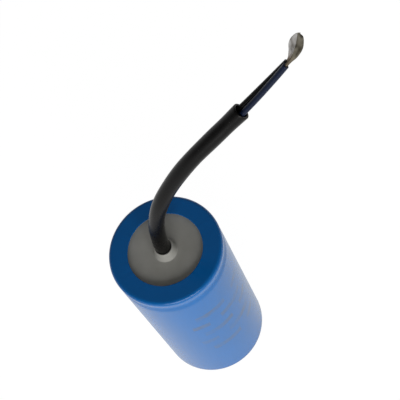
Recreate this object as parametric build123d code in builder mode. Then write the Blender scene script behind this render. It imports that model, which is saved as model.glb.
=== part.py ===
# Motor capacitor: beaded aluminium can under a blue shrink sleeve, grey lid, two-core cable lead.
# Lengths are in millimetres. Z is the can's axis with the base at zero, and the lead leans towards +X.
from build123d import *
import math
import os

os.makedirs("parts", exist_ok=True)

# Outside sizes
SLEEVE_D = 50.0
HEIGHT = 105.0
FILM = 0.4
TOP_OPENING_D = 33.0
BASE_OPENING_D = 38.0

# Drawn can: wall, corner at the base, curl over the lid, rolled bead that the lid sits on
CAN_WALL = 0.6
BASE_CORNER = 2.0
CURL_CORNER = 1.2
CURL_REACH = 3.0
BEAD_DOWN = 4.6
BEAD_DEPTH = 1.4
BEAD_ABOVE = 3.0
BEAD_BELOW = 4.5
FILM_DIP = 0.5

# Lid: land under the film, dish in the middle, tapered collar round the lead, cup for the resin underneath
LAND_GAP = 0.1
DISH_LAP_SHARE = 0.24
DISH_DEPTH = 1.2
DISH_CORNER = 0.8
COLLAR_FOOT_D = 10.4
COLLAR_TOP_D = 8.0
COLLAR_HEIGHT = 4.4
COLLAR_ROUND = 0.35
COLLAR_FILLET = 0.4
FLANGE_THICK = 1.0
FLANGE_GAP = 0.3
BODY_GAP = 0.2
BODY_DROP = 3.6
FLOOR_THICK = 2.8
SKIRT_WALL = 2.6
CUP_D = 14.0
CUP_WALL = 2.5
CUP_DEPTH = 4.0
SEAL_THICK = 0.8
SEAL_GAP = 0.05
RESIN_GAP = 0.05
RESIN_SHORT = 0.5

# Roll and the pieces round it
BOARD_THICK = 1.0
BOARD_GAP = 0.2
WINDING_GAP = 1.2
WINDING_HOLE_D = 6.0
TAPE_THICK = 0.15
TAPE_WIDTH = 26.0
TAPE_UP = 30.0
PITCH_HEIGHT = 20.0
PITCH_GAP = 0.05

# Joints between the roll and the lead
TAB_WIDTH = 3.4
TAB_THICK = 0.3
TAB_SLOT_GAP = 0.25
TAB_IN_CLIP = 3.4
CLIP_WALL = 0.5
CLIP_LENGTH = 3.8
CLIP_UP = 1.6
CLIP_GAP = 0.1
CLIP_CORNER = 0.45
CORE_STAND_OFF = 0.5
TUBING_WALL = 0.3
TUBING_GAP = 0.1
TUBING_LENGTH = 7.4
TUBING_UP = 0.6

# Lead: round cable of two cores, each a stranded wire in its own insulation
CABLE_D = 6.6
CABLE_GAP = 0.1
JACKET_WALL = 0.85
CORE_D = 2.35
WIRE_D = 1.1
WIRE_GAP = 0.05
CORE_GAP = 0.05
CORE_TURN = 90.0
JOINT_SPREAD = 4.6
JOINT_RUN = 5.0
SPLAY_DROP = 8.9
SPLAY_UNDER_RESIN = 2.1
SPLAY_RADIUS = 11.5
JACKET_IN_RESIN = 1.5
BEND_SHARE = 0.45

# Corners of the lead's route over the top of the sleeve: out along X, then up
ROUTE = [(0, 9.0), (3.0, 27.3), (10.3, 43.3), (23.7, 59.2), (39.8, 71.0), (51.2, 79.1)]
# Middle of the two cores past the jacket's cut end, on the same plan
FREE_ROUTE = [(64.9, 90.0), (71.5, 95.75)]
FREE_TWIST = [28.0, 42.0]
FREE_SPREAD = 2.75

# Flattened wire ends: along X, along Y and up from the end of each core, then half width and half thickness
TIP_BLACK = [(1.1, 0.1, 1.8, 0.62, 0.5), (2.15, 0.35, 4.4, 1.1, 0.36), (2.95, 0.4, 7.9, 1.45, 0.28),
             (5.05, 0.05, 11.4, 1.15, 0.26), (6.25, -0.25, 13.1, 0.75, 0.26)]
TIP_BLUE = [(1.75, -0.05, 1.5, 0.62, 0.5), (3.85, -0.15, 3.65, 1.15, 0.36), (6.05, -0.15, 7.35, 1.35, 0.28),
            (6.95, 0.05, 10.0, 1.25, 0.26), (7.5, 0.1, 11.8, 0.95, 0.26)]
# Way that each flattened end faces, as shares of a step along X, along Y and up
BLACK_FACE_SHARES = (-0.28, -0.22, 0.93)
BLUE_FACE_SHARES = (0.14, -0.76, 0.62)


def bend_radii(points):
    """Radius at each inner corner: the largest that leaves a straight in the middle of each run."""
    radii = []
    for before, corner, after in zip(points, points[1:], points[2:]):
        run_in = Vector(*corner) - Vector(*before)
        run_out = Vector(*after) - Vector(*corner)
        half_turn = math.radians(run_in.get_angle(run_out)) / 2
        shorter = min(run_in.length, run_out.length)
        radii.append(BEND_SHARE * shorter / math.tan(half_turn))
    return radii


def wavy_side(radius, low, bottom, high, depth):
    """Side of the can past its bead: two S-shaped flanks, each of two arcs that meet in the middle."""
    flank_low = TangentArc((radius, low), (radius - depth / 2, (low + bottom) / 2), tangent=(0, 1))
    floor_low = TangentArc(flank_low @ 1, (radius - depth, bottom), tangent=flank_low % 1)
    floor_high = TangentArc(floor_low @ 1, (radius - depth / 2, (bottom + high) / 2), tangent=(0, 1))
    TangentArc(floor_high @ 1, (radius, high), tangent=floor_high % 1)


# Levels and radii that several pieces share
sleeve_radius = SLEEVE_D / 2
can_radius = sleeve_radius - FILM
can_bore = can_radius - CAN_WALL
land_top = HEIGHT - FILM
bead_level = land_top - BEAD_DOWN
bead_low = bead_level - BEAD_BELOW
bead_high = bead_level + BEAD_ABOVE
seal_top = land_top - CAN_WALL
flange_top = seal_top - SEAL_THICK
flange_base = flange_top - FLANGE_THICK
dish_top = land_top - DISH_DEPTH
floor_base = dish_top - FLOOR_THICK
body_base = flange_base - BODY_DROP
curl_lip = can_radius - CURL_REACH
land_radius = curl_lip - LAND_GAP
body_radius = can_bore - BEAD_DEPTH - BODY_GAP
cup_radius = CUP_D / 2
cup_base = floor_base - CUP_DEPTH
cable_radius = CABLE_D / 2
collar_bore = cable_radius + CABLE_GAP

# Sleeve: one film, drawn as its outside line and thickened inwards
with BuildPart() as sleeve:
    with BuildSketch(Plane.XZ):
        with BuildLine():
            film_corner = BASE_CORNER + FILM
            top_corner = CURL_CORNER + FILM
            base_fold = Line((BASE_OPENING_D / 2, 0), (sleeve_radius - film_corner, 0))
            heel = TangentArc(base_fold @ 1, (sleeve_radius, film_corner), tangent=(1, 0))
            Line(heel @ 1, (sleeve_radius, bead_low))
            wavy_side(sleeve_radius, bead_low, bead_level, bead_high, FILM_DIP)
            Line((sleeve_radius, bead_high), (sleeve_radius, HEIGHT - top_corner))
            shoulder = TangentArc((sleeve_radius, HEIGHT - top_corner), (sleeve_radius - top_corner, HEIGHT),
                                  tangent=(0, 1))
            Line(shoulder @ 1, (TOP_OPENING_D / 2, HEIGHT))
            offset(amount=FILM, side=Side.LEFT)
        make_face()
    revolve(axis=Axis.Z)
sleeve.part.label = "sleeve"
export_step(sleeve.part, "parts/sleeve.step")

# Can: drawn cup, beaded below the lid and curled over it, the same wall throughout
with BuildPart() as can:
    with BuildSketch(Plane.XZ):
        with BuildLine():
            base_line = Line((0, FILM), (can_radius - BASE_CORNER, FILM))
            can_heel = TangentArc(base_line @ 1, (can_radius, FILM + BASE_CORNER), tangent=(1, 0))
            Line(can_heel @ 1, (can_radius, bead_low))
            wavy_side(can_radius, bead_low, bead_level, bead_high, BEAD_DEPTH)
            Line((can_radius, bead_high), (can_radius, land_top - CURL_CORNER))
            curl = TangentArc((can_radius, land_top - CURL_CORNER), (can_radius - CURL_CORNER, land_top),
                              tangent=(0, 1))
            Line(curl @ 1, (curl_lip, land_top))
            offset(amount=CAN_WALL, side=Side.LEFT)
        make_face()
    revolve(axis=Axis.Z)
can.part.label = "can"
export_step(can.part, "parts/can.step")

# Lid: one moulding, turned from its half section, then rounded where a hand or the light finds an edge
# The dish's wall hides under the film, a share of the way from the film's edge to the edge of the land
opening_radius = TOP_OPENING_D / 2
dish_radius = opening_radius + DISH_LAP_SHARE * (land_radius - opening_radius)
collar_top = dish_top + COLLAR_HEIGHT
flange_radius = can_bore - FLANGE_GAP
hub_radius = cup_radius + CUP_WALL
with BuildPart() as end_cap:
    with BuildSketch(Plane.XZ):
        with BuildLine():
            Polyline((collar_bore, floor_base), (cup_radius, floor_base), (cup_radius, cup_base),
                     (hub_radius, cup_base), (hub_radius, floor_base),
                     (body_radius - SKIRT_WALL, floor_base), (body_radius - SKIRT_WALL, body_base),
                     (body_radius, body_base), (body_radius, flange_base), (flange_radius, flange_base),
                     (flange_radius, flange_top), (land_radius, flange_top), (land_radius, land_top),
                     (dish_radius, land_top), (dish_radius, dish_top), (COLLAR_FOOT_D / 2, dish_top),
                     (COLLAR_TOP_D / 2, collar_top), (collar_bore, collar_top), close=True)
        make_face()
    revolve(axis=Axis.Z)
    collar_edges = end_cap.edges().filter_by_position(Axis.Z, collar_top, collar_top)
    fillet(collar_edges.sort_by(SortBy.RADIUS)[-1:], COLLAR_ROUND)
    dish_edges = end_cap.edges().filter_by_position(Axis.Z, dish_top, dish_top).sort_by(SortBy.RADIUS)
    fillet(dish_edges[-1:], DISH_CORNER)
    foot_edges = end_cap.edges().filter_by_position(Axis.Z, dish_top, dish_top).sort_by(SortBy.RADIUS)
    fillet(foot_edges[:1], COLLAR_FILLET)
end_cap.part.label = "end_cap"
export_step(end_cap.part, "parts/end_cap.step")

# Rubber ring between the lid's flange and the curl, rounded to sit inside the curl
seal_radius = can_bore - SEAL_GAP
seal_round = CURL_CORNER - CAN_WALL - SEAL_GAP
with BuildPart() as sealing_ring:
    with BuildSketch(Plane.XY.offset(flange_top)):
        Circle(seal_radius)
        Circle(land_radius + LAND_GAP, mode=Mode.SUBTRACT)
    extrude(amount=SEAL_THICK)
    seal_edges = sealing_ring.edges().filter_by_position(Axis.Z, seal_top, seal_top)
    fillet(seal_edges.sort_by(SortBy.RADIUS)[-1:], seal_round)
sealing_ring.part.label = "sealing_ring"
export_step(sealing_ring.part, "parts/sealing_ring.step")

# Resin poured into the lid's cup round the jacket's inner end and the two cores
resin_base = cup_base + RESIN_SHORT
jacket_start = floor_base - JACKET_IN_RESIN
core_offset = CORE_D / 2 + CORE_GAP
with BuildPart() as resin_seal:
    with BuildSketch(Plane.XY.offset(resin_base)):
        Circle(cup_radius - RESIN_GAP)
        SlotCenterToCenter(2 * core_offset, CORE_D + 2 * RESIN_GAP, rotation=CORE_TURN, mode=Mode.SUBTRACT)
    extrude(amount=floor_base - resin_base)
    with BuildSketch(Plane.XY.offset(jacket_start)):
        Circle(cable_radius + RESIN_GAP)
    extrude(amount=floor_base - jacket_start, mode=Mode.SUBTRACT)
resin_seal.part.label = "resin_seal"
export_step(resin_seal.part, "parts/resin_seal.step")

# Levels of the joints, worked down from the resin so that the roll takes the room that is left
splay_level = resin_base - SPLAY_UNDER_RESIN
joint_top = splay_level - SPLAY_DROP
core_start = joint_top - JOINT_RUN
board_top = core_start - CORE_STAND_OFF - CLIP_LENGTH - CLIP_UP
winding_top = board_top - BOARD_THICK
winding_base = FILM + CAN_WALL + BOARD_THICK
winding_radius = can_bore - WINDING_GAP
board_radius = can_bore - BASE_CORNER + CAN_WALL - BOARD_GAP
tab_inner = JOINT_SPREAD + WIRE_D / 2 + CLIP_GAP
tab_middle = tab_inner + TAB_THICK / 2

# Board disc under the roll
with BuildPart() as base_insulator:
    with BuildSketch(Plane.XY.offset(FILM + CAN_WALL)):
        Circle(board_radius)
    extrude(amount=BOARD_THICK)
base_insulator.part.label = "base_insulator"
export_step(base_insulator.part, "parts/base_insulator.step")

# Foil and paper roll with the hole that the winding spindle leaves
with BuildPart() as winding:
    with BuildSketch(Plane.XY.offset(winding_base)):
        Circle(winding_radius)
        Circle(WINDING_HOLE_D / 2, mode=Mode.SUBTRACT)
    extrude(amount=winding_top - winding_base)
winding.part.label = "winding"
export_step(winding.part, "parts/winding.step")

# Tape round the roll
with BuildPart() as closing_tape:
    with BuildSketch(Plane.XY.offset(winding_base + TAPE_UP)):
        Circle(winding_radius + TAPE_THICK)
        Circle(winding_radius, mode=Mode.SUBTRACT)
    extrude(amount=TAPE_WIDTH)
closing_tape.part.label = "closing_tape"
export_step(closing_tape.part, "parts/closing_tape.step")

# Ring of pitch that holds the roll's foot in the can
with BuildPart() as anchor_compound:
    with BuildSketch(Plane.XY.offset(FILM + BASE_CORNER + PITCH_GAP)):
        Circle(can_bore - PITCH_GAP)
        Circle(winding_radius + PITCH_GAP, mode=Mode.SUBTRACT)
    extrude(amount=PITCH_HEIGHT)
anchor_compound.part.label = "anchor_compound"
export_step(anchor_compound.part, "parts/anchor_compound.step")

# Board disc over the roll, with a slot for each tab
slot_width = TAB_WIDTH + 2 * TAB_SLOT_GAP
slot_depth = TAB_THICK + 2 * TAB_SLOT_GAP
with BuildPart() as top_insulator:
    with BuildSketch(Plane.XY.offset(winding_top)):
        Circle(board_radius)
        Circle(WINDING_HOLE_D / 2, mode=Mode.SUBTRACT)
        with Locations((0, tab_middle), (0, -tab_middle)):
            Rectangle(slot_width, slot_depth, mode=Mode.SUBTRACT)
    extrude(amount=BOARD_THICK)
top_insulator.part.label = "top_insulator"
export_step(top_insulator.part, "parts/top_insulator.step")

# Tabs: strips that stand up out of the roll, one for each foil
clip_base = board_top + CLIP_UP
tab_length = clip_base + TAB_IN_CLIP - winding_top
with BuildPart() as tab_black:
    with BuildSketch(Plane.XY.offset(winding_top)):
        with Locations((0, tab_middle)):
            Rectangle(TAB_WIDTH, TAB_THICK)
    extrude(amount=tab_length)
tab_black.part.label = "tab_black"
export_step(tab_black.part, "parts/tab_black.step")

with BuildPart() as tab_blue:
    with BuildSketch(Plane.XY.offset(winding_top)):
        with Locations((0, -tab_middle)):
            Rectangle(TAB_WIDTH, TAB_THICK)
    extrude(amount=tab_length)
tab_blue.part.label = "tab_blue"
export_step(tab_blue.part, "parts/tab_blue.step")

# Clips: flattened barrels that hold a tab against a wire
clip_hole_width = TAB_WIDTH + 2 * CLIP_GAP
clip_hole_inner = JOINT_SPREAD - WIRE_D / 2 - CLIP_GAP
clip_hole_outer = tab_inner + TAB_THICK + CLIP_GAP
clip_hole_depth = clip_hole_outer - clip_hole_inner
clip_middle = (clip_hole_inner + clip_hole_outer) / 2
clip_width = clip_hole_width + 2 * CLIP_WALL
clip_depth = clip_hole_depth + 2 * CLIP_WALL
with BuildPart() as clip_black:
    with BuildSketch(Plane.XY.offset(clip_base)):
        with Locations((0, clip_middle)):
            RectangleRounded(clip_width, clip_depth, CLIP_CORNER)
            Rectangle(clip_hole_width, clip_hole_depth, mode=Mode.SUBTRACT)
    extrude(amount=CLIP_LENGTH)
clip_black.part.label = "clip_black"
export_step(clip_black.part, "parts/clip_black.step")

with BuildPart() as clip_blue:
    with BuildSketch(Plane.XY.offset(clip_base)):
        with Locations((0, -clip_middle)):
            RectangleRounded(clip_width, clip_depth, CLIP_CORNER)
            Rectangle(clip_hole_width, clip_hole_depth, mode=Mode.SUBTRACT)
    extrude(amount=CLIP_LENGTH)
clip_blue.part.label = "clip_blue"
export_step(clip_blue.part, "parts/clip_blue.step")

# Insulating tube over each joint
tubing_bore = math.hypot(clip_width, clip_depth) / 2 + TUBING_GAP
tubing_base = board_top + TUBING_UP
with BuildPart() as tubing_black:
    with BuildSketch(Plane.XY.offset(tubing_base)):
        with Locations((0, clip_middle)):
            Circle(tubing_bore + TUBING_WALL)
            Circle(tubing_bore, mode=Mode.SUBTRACT)
    extrude(amount=TUBING_LENGTH)
tubing_black.part.label = "tubing_black"
export_step(tubing_black.part, "parts/tubing_black.step")

with BuildPart() as tubing_blue:
    with BuildSketch(Plane.XY.offset(tubing_base)):
        with Locations((0, -clip_middle)):
            Circle(tubing_bore + TUBING_WALL)
            Circle(tubing_bore, mode=Mode.SUBTRACT)
    extrude(amount=TUBING_LENGTH)
tubing_blue.part.label = "tubing_blue"
export_step(tubing_blue.part, "parts/tubing_blue.step")

# Routes: the jacket's, then each core's beside it, splayed to its joint below and twisted past the cut end
lead_points = [(x, 0, HEIGHT + z) for x, z in ROUTE]
jacket_points = [(0, 0, jacket_start)] + lead_points
jacket_radii = bend_radii(jacket_points)
print("jacket radii", [round(radius, 1) for radius in jacket_radii])


def core_route(side):
    """Corners of one core's route, from its joint in the can to the end of its insulation."""
    points = [(0, side * JOINT_SPREAD, core_start), (0, side * JOINT_SPREAD, joint_top)]
    points.append((0, side * core_offset, splay_level))
    points += [(x, side * core_offset, z) for x, y, z in lead_points]
    start_x, start_z = ROUTE[-1]
    for (x, z), twist in zip(FREE_ROUTE, FREE_TWIST):
        lean = math.atan2(z - start_z, x - start_x)
        across = FREE_SPREAD / 2 * math.cos(math.radians(twist))
        over = -side * FREE_SPREAD / 2 * math.sin(math.radians(twist))
        points.append((x - over * math.sin(lean), side * across, HEIGHT + z + over * math.cos(lean)))
        start_x, start_z = x, z
    return points


def core_radii(points):
    """Bend radii of one core: the splay in the can is tight, the rest as open as the runs allow."""
    return [SPLAY_RADIUS, SPLAY_RADIUS] + bend_radii(points)[2:]


black_points = core_route(1)
blue_points = core_route(-1)
black_radii = core_radii(black_points)
blue_radii = core_radii(blue_points)
print("black core radii", [round(radius, 1) for radius in black_radii])
print("blue core radii", [round(radius, 1) for radius in blue_radii])

# Jacket: round tube from the resin to its cut end
with BuildPart() as cable_jacket:
    with BuildLine() as jacket_line:
        FilletPolyline(*jacket_points, radius=jacket_radii)
    with BuildSketch(Plane(origin=jacket_line.line @ 0, z_dir=jacket_line.line % 0)):
        Circle(cable_radius)
        Circle(cable_radius - JACKET_WALL, mode=Mode.SUBTRACT)
    sweep(path=jacket_line.line)
cable_jacket.part.label = "cable_jacket"
export_step(cable_jacket.part, "parts/cable_jacket.step")

# Insulation of each core
with BuildPart() as core_black:
    with BuildLine() as black_line:
        FilletPolyline(*black_points, radius=black_radii)
    with BuildSketch(Plane(origin=black_line.line @ 0, z_dir=black_line.line % 0)):
        Circle(CORE_D / 2)
        Circle(WIRE_D / 2 + WIRE_GAP, mode=Mode.SUBTRACT)
    sweep(path=black_line.line)
core_black.part.label = "core_black"
export_step(core_black.part, "parts/core_black.step")

with BuildPart() as core_blue:
    with BuildLine() as blue_line:
        FilletPolyline(*blue_points, radius=blue_radii)
    with BuildSketch(Plane(origin=blue_line.line @ 0, z_dir=blue_line.line % 0)):
        Circle(CORE_D / 2)
        Circle(WIRE_D / 2 + WIRE_GAP, mode=Mode.SUBTRACT)
    sweep(path=blue_line.line)
core_blue.part.label = "core_blue"
export_step(core_blue.part, "parts/core_blue.step")

# Wires: stripped below for the clip, tinned and pressed flat at the free end
wire_start = clip_base + CLIP_GAP


def tip_planes(end, along, tips, face_shares):
    """Planes of the flattened end's sections, each square to the line between its neighbours."""
    places = [Vector(*end)]
    for x, y, z, half_width, half_thick in tips:
        places.append(Vector(*end) + Vector(x, y, z))
    planes = []
    for number, place in enumerate(places):
        nearest = places[max(number - 1, 0)]
        farthest = places[min(number + 1, len(places) - 1)]
        heading = farthest - nearest if number else along
        planes.append(Plane(origin=place, x_dir=heading.cross(Vector(*face_shares)), z_dir=heading))
    return planes


with BuildPart() as conductor_black:
    with BuildLine() as black_wire_line:
        FilletPolyline((0, JOINT_SPREAD, wire_start), *black_points[1:], radius=black_radii)
    with BuildSketch(Plane(origin=black_wire_line.line @ 0, z_dir=black_wire_line.line % 0)):
        Circle(WIRE_D / 2)
    sweep(path=black_wire_line.line)
    black_planes = tip_planes(black_points[-1], black_wire_line.line % 1, TIP_BLACK, BLACK_FACE_SHARES)
    with BuildSketch(black_planes[0]):
        Ellipse(WIRE_D / 2, WIRE_D / 2)
    for plane, (x, y, z, half_width, half_thick) in zip(black_planes[1:], TIP_BLACK):
        with BuildSketch(plane):
            Ellipse(half_width, half_thick)
    loft()
conductor_black.part.label = "conductor_black"
export_step(conductor_black.part, "parts/conductor_black.step")

with BuildPart() as conductor_blue:
    with BuildLine() as blue_wire_line:
        FilletPolyline((0, -JOINT_SPREAD, wire_start), *blue_points[1:], radius=blue_radii)
    with BuildSketch(Plane(origin=blue_wire_line.line @ 0, z_dir=blue_wire_line.line % 0)):
        Circle(WIRE_D / 2)
    sweep(path=blue_wire_line.line)
    blue_planes = tip_planes(blue_points[-1], blue_wire_line.line % 1, TIP_BLUE, BLUE_FACE_SHARES)
    with BuildSketch(blue_planes[0]):
        Ellipse(WIRE_D / 2, WIRE_D / 2)
    for plane, (x, y, z, half_width, half_thick) in zip(blue_planes[1:], TIP_BLUE):
        with BuildSketch(plane):
            Ellipse(half_width, half_thick)
    loft()
conductor_blue.part.label = "conductor_blue"
export_step(conductor_blue.part, "parts/conductor_blue.step")
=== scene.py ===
# %% [markdown]
# # A motor capacitor, dressed in Blender
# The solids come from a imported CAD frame: a beaded aluminium can, a grey lid and a cable lead. This lesson
# gives them their finishes, and replaces the film, the cable and the bare wires by finer surfaces. Lengths
# are written in millimetres and turned to metres by one factor, because Blender works in metres.

# %% Load the frame
import math

import bmesh
import bpy
import numpy as np
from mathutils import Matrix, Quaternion, Vector


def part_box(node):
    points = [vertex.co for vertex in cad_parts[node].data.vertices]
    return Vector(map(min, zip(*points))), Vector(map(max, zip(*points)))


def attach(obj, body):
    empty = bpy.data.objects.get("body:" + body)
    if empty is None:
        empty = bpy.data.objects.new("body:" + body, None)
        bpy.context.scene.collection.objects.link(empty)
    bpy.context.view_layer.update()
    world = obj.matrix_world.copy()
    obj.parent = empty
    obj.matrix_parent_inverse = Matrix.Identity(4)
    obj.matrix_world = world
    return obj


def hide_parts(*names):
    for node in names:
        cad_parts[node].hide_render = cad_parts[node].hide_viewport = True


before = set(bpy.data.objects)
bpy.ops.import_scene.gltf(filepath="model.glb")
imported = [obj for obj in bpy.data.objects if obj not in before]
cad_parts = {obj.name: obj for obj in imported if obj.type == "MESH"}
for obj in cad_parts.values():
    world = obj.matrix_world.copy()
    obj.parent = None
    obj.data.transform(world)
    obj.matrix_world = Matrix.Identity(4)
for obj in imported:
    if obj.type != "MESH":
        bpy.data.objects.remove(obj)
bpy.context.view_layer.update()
MM = 0.001
body_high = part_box("sleeve")[1]
HEIGHT = body_high.z / MM
SLEEVE_RADIUS = body_high.x / MM
print("nodes", len(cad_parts), "height", round(HEIGHT, 2), "radius", round(SLEEVE_RADIUS, 2))

# %% [markdown]
# ## Camera
# The photograph looks down on the lid from high above, and the camera is rolled, so that the can leans in
# the picture. The place, aim and roll below were fitted to the outlines of the can's two ends.

# %% Set the camera
CAMERA_PLACE = (36.91, -196.85, 522.68)
CAMERA_AIM = (23.65, -8.40, 150.0)
CAMERA_ROLL_DEGREES = -27.99
CAMERA_LENS = 98.11
SENSOR_WIDTH = 36.0

camera_data = bpy.data.cameras.new("photo_camera")
camera_data.lens = CAMERA_LENS
camera_data.sensor_width = SENSOR_WIDTH
camera = bpy.data.objects.new("photo_camera", camera_data)
bpy.context.scene.collection.objects.link(camera)
camera.location = Vector(CAMERA_PLACE) * MM
camera.rotation_mode = "QUATERNION"
sight = (Vector(CAMERA_AIM) - Vector(CAMERA_PLACE)).to_track_quat("-Z", "Y")
camera.rotation_quaternion = sight @ Quaternion((0, 0, 1), math.radians(CAMERA_ROLL_DEGREES))
bpy.context.scene.camera = camera
bpy.context.scene.view_settings.view_transform = "Standard"
print("camera distance", round((Vector(CAMERA_PLACE) - Vector(CAMERA_AIM)).length), "mm")

# %% [markdown]
# ## Surfaces from arrays
# Every new piece here is a grid of points: one parameter runs along the piece, the other round it. numpy
# works out the whole grid at once, and foreach_set hands it to the mesh. That is quicker than adding one
# vertex at a time in a loop, or than shaping each piece by hand.

# %% Grid to mesh
WELD = 0.0005


def grid_piece(name, grid, uv=None, closed_along=False):
    """Mesh of a grid of points, rows along and columns round. The last column joins the first, and the last
    row joins the first where closed_along is set. Points that coincide, as a row shrunk to a pole does, are
    welded to one. uv, if given, is one pair for each point, and runs on to one turn over the seam."""
    rows, columns = grid.shape[:2]
    row_count = rows if closed_along else rows - 1
    row, column = np.meshgrid(np.arange(row_count), np.arange(columns), indexing="ij")
    next_row = (row + 1) % rows
    next_column = (column + 1) % columns
    corners = [row * columns + column, row * columns + next_column]
    corners += [next_row * columns + next_column, next_row * columns + column]
    quads = np.stack(corners, -1).reshape(-1, 4).astype(np.int32)
    mesh = bpy.data.meshes.new(name)
    mesh.vertices.add(rows * columns)
    mesh.vertices.foreach_set("co", (grid.reshape(-1, 3) * MM).astype(np.float32).ravel())
    mesh.loops.add(quads.size)
    mesh.loops.foreach_set("vertex_index", quads.ravel())
    mesh.polygons.add(len(quads))
    mesh.polygons.foreach_set("loop_start", np.arange(0, quads.size, 4, dtype=np.int32))
    mesh.update(calc_edges=True)
    if uv is not None:
        corner_uv = uv.reshape(-1, 2)[quads]
        corner_uv[column.ravel() == columns - 1, 1:3, 1] += 1
        layer = mesh.uv_layers.new(name="along_round")
        layer.data.foreach_set("uv", corner_uv.astype(np.float32).ravel())
    welded = bmesh.new()
    welded.from_mesh(mesh)
    bmesh.ops.remove_doubles(welded, verts=welded.verts, dist=WELD * MM)
    welded.to_mesh(mesh)
    welded.free()
    mesh.polygons.foreach_set("use_smooth", np.ones(len(mesh.polygons), dtype=bool))
    piece = bpy.data.objects.new(name, mesh)
    bpy.context.scene.collection.objects.link(piece)
    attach(piece, "root")
    print(name, "faces", len(mesh.polygons))
    return piece


# %% [markdown]
# ## The lead's routes
# The cable's middle line is a NURBS spline whose control points are the corners of the CAD route. Order 3
# makes it smooth, and it is set after the points are in, or the spline stays a chain of straight runs. The
# route's first point is added here, so that the spline stays straight inside the collar. A curve with no
# bevel turns to a mesh of points along it, and those points carry the tubes.

# %% Route control points
JACKET_START = 99.1
# Along X, and up from the top of the can
ROUTE = [(0, 3.0), (0, 9.0), (3.0, 27.3), (10.3, 43.3), (23.7, 59.2), (39.8, 71.0), (51.2, 79.1)]
FREE_ROUTE = [(64.9, 90.0), (71.5, 95.75)]
FREE_TWIST_DEGREES = [28.0, 42.0]
FREE_SPREAD = 2.75
CABLE_DIAMETER = 6.6
CORE_DIAMETER = 2.35
CORE_OFFSET = 1.225
ROUTE_STEPS = 24

jacket_points = [(0, 0, JACKET_START)] + [(x, 0, HEIGHT + z) for x, z in ROUTE]


def core_points(side):
    """Control points of one core: inside the jacket's mouth it runs beside the middle line, and past it the
    pair turns about that line by the twist, so each core's offset is a cosine across and a sine over."""
    points = [(x, side * CORE_OFFSET, HEIGHT + z) for x, z in ROUTE[-2:]]
    start_x, start_z = ROUTE[-1]
    for (x, z), twist in zip(FREE_ROUTE, FREE_TWIST_DEGREES):
        lean = math.atan2(z - start_z, x - start_x)
        across = FREE_SPREAD / 2 * math.cos(math.radians(twist))
        over = -side * FREE_SPREAD / 2 * math.sin(math.radians(twist))
        points.append((x - over * math.sin(lean), side * across, HEIGHT + z + over * math.cos(lean)))
        start_x, start_z = x, z
    return points


def spline_points(name, points):
    """Points along the NURBS spline of order 3 that has these control points, in millimetres."""
    curve = bpy.data.curves.new(name, "CURVE")
    curve.dimensions = "3D"
    spline = curve.splines.new("NURBS")
    spline.points.add(len(points) - 1)
    weighted = np.ones((len(points), 4))
    weighted[:, :3] = points
    spline.points.foreach_set("co", weighted.ravel())
    spline.order_u = 3
    spline.use_endpoint_u = True
    spline.resolution_u = ROUTE_STEPS
    holder = bpy.data.objects.new(name, curve)
    mesh = bpy.data.meshes.new_from_object(holder)
    found = np.empty(len(mesh.vertices) * 3, dtype=np.float32)
    mesh.vertices.foreach_get("co", found)
    bpy.data.meshes.remove(mesh)
    bpy.data.objects.remove(holder)
    bpy.data.curves.remove(curve)
    return found.reshape(-1, 3).astype(float)


def path_length(path):
    """Sum of the steps between neighbouring points."""
    return float(np.linalg.norm(np.diff(path, axis=0), axis=1).sum())


# %% Work out the routes
BLACK_SIDE = 1
BLUE_SIDE = -1

jacket_path = spline_points("jacket_route", jacket_points)
black_path = spline_points("black_route", core_points(BLACK_SIDE))
blue_path = spline_points("blue_route", core_points(BLUE_SIDE))
for label, path in (("jacket", jacket_path), ("black core", black_path), ("blue core", blue_path)):
    print(label, "line", len(path), "points", round(path_length(path), 1), "mm")

# %% [markdown]
# ## Carrying a profile along a path
# A tube is a ring carried along the route. The ring needs two directions square to the path. The lead bends
# about the Y axis, so Y, made square to the path, is one of them at every point, and the ring never twists.

# %% Carry
def path_frame(path, places):
    """Points, and the two directions square to the path, at the places given as lengths along it: Y less its
    share along the heading, and the cross product of the heading with that."""
    steps = np.linalg.norm(np.diff(path, axis=0), axis=1)
    along = np.concatenate([[0.0], np.cumsum(steps)])
    slopes = np.gradient(path, along, axis=0)
    inside = np.clip(places, 0, along[-1])
    point = np.stack([np.interp(inside, along, path[:, axis]) for axis in range(3)], -1)
    heading = np.stack([np.interp(inside, along, slopes[:, axis]) for axis in range(3)], -1)
    heading /= np.linalg.norm(heading, axis=1, keepdims=True)
    point += heading * (places - inside)[:, None]
    across = np.array([0.0, 1.0, 0.0]) - heading * heading[:, 1:2]
    across /= np.linalg.norm(across, axis=1, keepdims=True)
    return point, across, np.cross(heading, across)


def tube_grid(path, places, radii, columns):
    """Tube: at each place a circle of that radius, radius x (cos across + sin over), round the path."""
    point, across, over = path_frame(path, places)
    turn = np.linspace(0, 2 * np.pi, columns, endpoint=False)
    ring = np.cos(turn)[None, :, None] * across[:, None, :] + np.sin(turn)[None, :, None] * over[:, None, :]
    return point[:, None, :] + radii[:, None, None] * ring


def tube_uv(places, columns):
    """Millimetres along the tube, and turns round it, for finishes that follow the tube."""
    turn = np.linspace(0, 1, columns, endpoint=False)
    return np.stack(np.broadcast_arrays(places[:, None], turn[None, :]), -1)


def rounded_edge(radius, place, size, steps, inward):
    """Places and radii of a quarter circle that rounds the cut end, a sine one way and one less a cosine the
    other: inward it rounds the outer wall, and otherwise the edge of the bore."""
    turn = np.linspace(0, np.pi / 2, steps)
    drop = size * (1 - np.cos(turn))
    reach = size * np.sin(turn)
    if inward:
        return place - size + reach, radius - drop
    return place - drop[::-1], radius + size - reach[::-1]


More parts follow.
